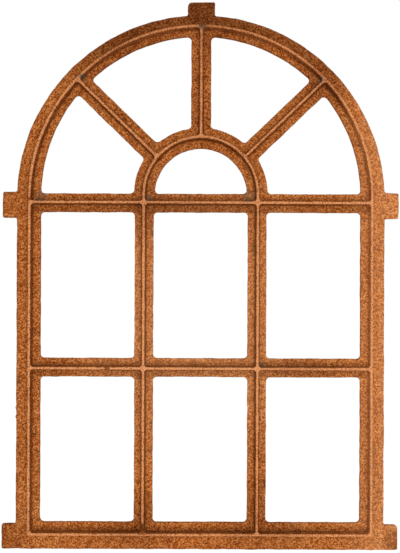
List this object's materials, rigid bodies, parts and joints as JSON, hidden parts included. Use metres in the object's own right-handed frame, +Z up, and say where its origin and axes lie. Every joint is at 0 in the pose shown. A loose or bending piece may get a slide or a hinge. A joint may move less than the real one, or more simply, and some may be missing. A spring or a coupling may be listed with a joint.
{
  "type": "round-headed window frame",
  "caption": "Round-headed cast-iron stable window with flanged glazing bars, a radiating fan over upright panes, and lugs that build into the wall.",
  "frame": {"origin": "middle of the sill rail's underside, in the middle of the plate's thickness", "axes": "+Z up the window, +X to the right seen from the glazing side, -Y out of the glazing side"},
  "size_m": [0.7, 0.023, 0.967],
  "materials": {
    "rusted_iron": "rusted as-cast skin, matt and pitted"
  },
  "bodies": {
    "root": {"sill_rail": "rusted_iron", "left_stile": "rusted_iron", "right_stile": "rusted_iron", "impost_bar": "rusted_iron", "left_mullion": "rusted_iron", "right_mullion": "rusted_iron", "left_transom": "rusted_iron", "middle_transom": "rusted_iron", "right_transom": "rusted_iron", "arch_right_haunch": "rusted_iron", "arch_right_crown": "rusted_iron", "arch_left_crown": "rusted_iron", "arch_left_haunch": "rusted_iron", "ring_right_haunch": "rusted_iron", "ring_right_crown": "rusted_iron", "ring_left_crown": "rusted_iron", "ring_left_haunch": "rusted_iron", "right_spoke": "rusted_iron", "middle_spoke": "rusted_iron", "left_spoke": "rusted_iron", "top_lug": "rusted_iron", "left_foot_lug": "rusted_iron", "left_spring_lug": "rusted_iron", "right_foot_lug": "rusted_iron", "right_spring_lug": "rusted_iron"}
  },
  "joints": []
}
